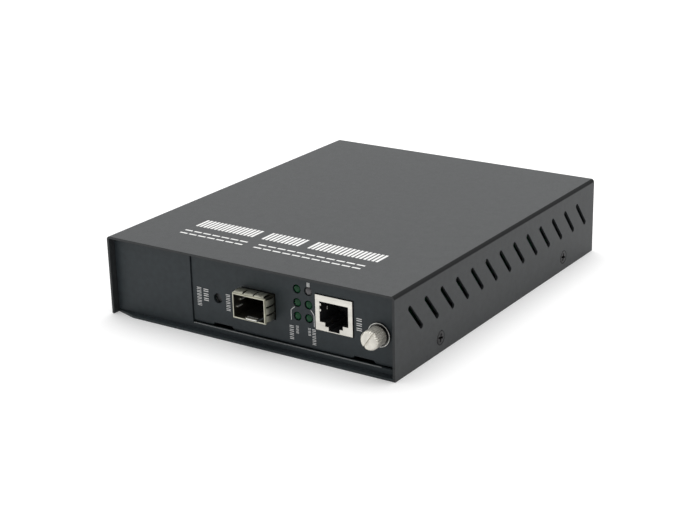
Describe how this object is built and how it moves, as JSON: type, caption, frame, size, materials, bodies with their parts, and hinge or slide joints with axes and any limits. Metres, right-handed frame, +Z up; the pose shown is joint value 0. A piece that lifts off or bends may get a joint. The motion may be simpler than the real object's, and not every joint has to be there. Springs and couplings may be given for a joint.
{
  "type": "fibre media converter",
  "caption": "Desktop fibre media converter: dark grey folded steel box with slanted side vents, and a slide-in module with an SFP slot, a network jack, lamps, a reset button and a thumbscrew.",
  "frame": {"origin": "middle of the flat underside of the base tray", "axes": "+X to the right seen from the front, +Y from the front to the rear, +Z up"},
  "size_m": [0.132, 0.1675, 0.0324],
  "materials": {
    "grey_paint": "fine powder coat, matt",
    "cover_paint": "fine powder coat, matt",
    "zinc_steel": "zinc plated, satin",
    "black_steel": "black zinc, semi-gloss",
    "cage_steel": "nickel plated, satin",
    "shield_steel": "bright tin plate",
    "nickel_knob": "turned and knurled, satin",
    "board_laminate": "green solder mask",
    "black_plastic": "moulded, matt",
    "grey_button": "moulded, matt",
    "white_plastic": "moulded nylon",
    "green_lens": "tinted clear epoxy",
    "clear_lens": "clear epoxy",
    "gold_contact": "gold flash",
    "tin_contact": "tin plated brass",
    "copper_wire": "enamelled copper",
    "ferrite": "sintered ferrite",
    "can_sleeve": "shrink sleeve over aluminium",
    "film_case": "epoxy filled case",
    "fuse_tube": "ceramic tube with plated caps",
    "sink_aluminium": "extruded, natural"
  },
  "bodies": {
    "chassis": {"base_tray": "grey_paint", "bay_divider": "zinc_steel", "board_supports": "white_plastic", "bridge_rectifier": "black_plastic", "bulk_capacitor": "can_sleeve", "control_chips": "black_plastic", "cover": "cover_paint", "cover_screws": "black_steel", "device_springs": "zinc_steel", "filter_core": "ferrite", "filter_windings": "copper_wire", "fuse": "fuse_tube", "fuse_clips": "tin_contact", "heat_sink": "sink_aluminium", "inlet_housing": "black_plastic", "inlet_pins": "tin_contact", "left_card_guide": "black_plastic", "line_capacitor": "film_case", "output_capacitors": "can_sleeve", "output_choke": "ferrite", "output_rectifier": "black_plastic", "power_board": "board_laminate", "power_switch": "black_plastic", "right_card_guide": "black_plastic", "socket_contacts": "gold_contact", "socket_housing": "black_plastic", "transformer_bobbin": "black_plastic", "transformer_core": "ferrite", "transformer_winding": "copper_wire"},
    "module": {"converter_chip": "black_plastic", "crystals": "tin_contact", "green_leds": "green_lens", "jack_contacts": "gold_contact", "jack_housing": "black_plastic", "jack_shield": "shield_steel", "led_holder": "black_plastic", "line_transformer": "black_plastic", "management_chip": "black_plastic", "memory_chips": "black_plastic", "module_board": "board_laminate", "module_capacitors": "can_sleeve", "module_panel": "grey_paint", "module_screws": "zinc_steel", "module_standoffs": "zinc_steel", "power_inductor": "ferrite", "power_led": "clear_lens", "reset_switch": "black_plastic", "screw_ferrule": "nickel_knob", "sfp_cage": "cage_steel", "sfp_contacts": "gold_contact", "sfp_fingers": "cage_steel", "sfp_socket": "black_plastic"},
    "thumbscrew": {"thumbscrew": "nickel_knob"},
    "screw_clip": {"screw_clip": "black_steel"},
    "reset_button": {"reset_button": "grey_button"}
  },
  "joints": [
    {"name": "module_slide", "type": "slide", "parent": "chassis", "child": "module", "axis": [0, -1, 0], "range_m": [0, 0.14]},
    {"name": "screw_travel", "type": "slide", "parent": "module", "child": "screw_clip", "axis": [0, -1, 0], "range_m": [0, 0.0025]},
    {"name": "thumbscrew_turn", "type": "hinge", "parent": "screw_clip", "child": "thumbscrew", "pos_m": [0.0576, -0.085, 0.0155], "axis": [0, -1, 0], "range_deg": [0, 1800]},
    {"name": "reset_press", "type": "slide", "parent": "module", "child": "reset_button", "axis": [0, 1, 0], "range_m": [0, 0.0003], "stiffness_N_per_m": 400}
  ],
  "couplings": [
    {"joint": "thumbscrew_turn", "follows": "screw_travel", "rad_per_m": 12566}
  ]
}
